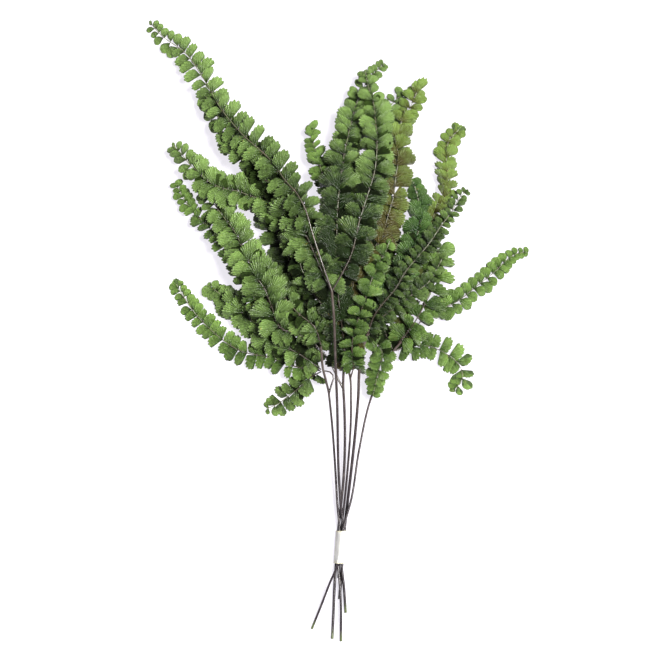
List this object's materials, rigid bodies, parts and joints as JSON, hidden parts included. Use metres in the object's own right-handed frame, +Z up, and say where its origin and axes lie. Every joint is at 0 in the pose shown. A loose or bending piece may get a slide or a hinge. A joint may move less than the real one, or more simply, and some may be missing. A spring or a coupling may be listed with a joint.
{
  "type": "tied bunch of fern fronds",
  "caption": "Cut maidenhair fern fronds with long pinnae of fan-shaped pinnules, tied near the cut ends with a band of paper tape, lying flat.",
  "frame": {"origin": "on the resting surface, under the middle of the bunch's bounding box", "axes": "+Y from the cut stalk ends to the leaf tips, +Z up from the resting surface, +X to the right seen from above"},
  "size_m": [0.3091, 0.5009, 0.0417],
  "materials": {
    "leaf": "satin deep green leaf with fine radiating veins",
    "leaf_fresh": "satin yellow-green young leaf",
    "leaf_olive": "satin olive leaf with bronze blotches",
    "leaf_blue": "satin bluish dark green leaf",
    "stalk": "dark purple-brown stalk, slightly glossy",
    "tape": "matt off-white paper tape"
  },
  "bodies": {
    "root": {"binding_tape": "tape", "frond_a_pinna_left": "leaf_fresh", "frond_a_pinna_low": "leaf", "frond_a_pinna_main": "leaf", "frond_a_pinna_upper": "leaf", "frond_a_stalk": "stalk", "frond_b_pinna_left": "leaf", "frond_b_pinna_right": "leaf", "frond_b_pinna_under": "leaf", "frond_b_stalk": "stalk", "frond_c_pinna_inner": "leaf", "frond_c_pinna_inside": "leaf", "frond_c_pinna_middle": "leaf", "frond_c_pinna_outer": "leaf_fresh", "frond_c_pinna_shaded": "leaf", "frond_c_pinna_top": "leaf", "frond_c_pinna_upper": "leaf_fresh", "frond_c_stalk": "stalk", "frond_d_pinna_bronze": "leaf_olive", "frond_d_pinna_middle": "leaf_fresh", "frond_d_pinna_top": "leaf", "frond_d_stalk": "stalk", "frond_e_pinna_blue": "leaf_blue", "frond_e_pinna_fine": "leaf", "frond_e_pinna_hanging": "leaf_fresh", "frond_e_pinna_hidden": "leaf", "frond_e_pinna_right": "leaf", "frond_e_stalk": "stalk", "frond_f_pinna_drooping": "leaf_fresh", "frond_f_pinna_edge": "leaf_fresh", "frond_f_pinna_hidden": "leaf", "frond_f_pinna_right": "leaf_fresh", "frond_f_pinna_tall": "leaf_olive", "frond_f_stalk": "stalk"}
  },
  "joints": []
}
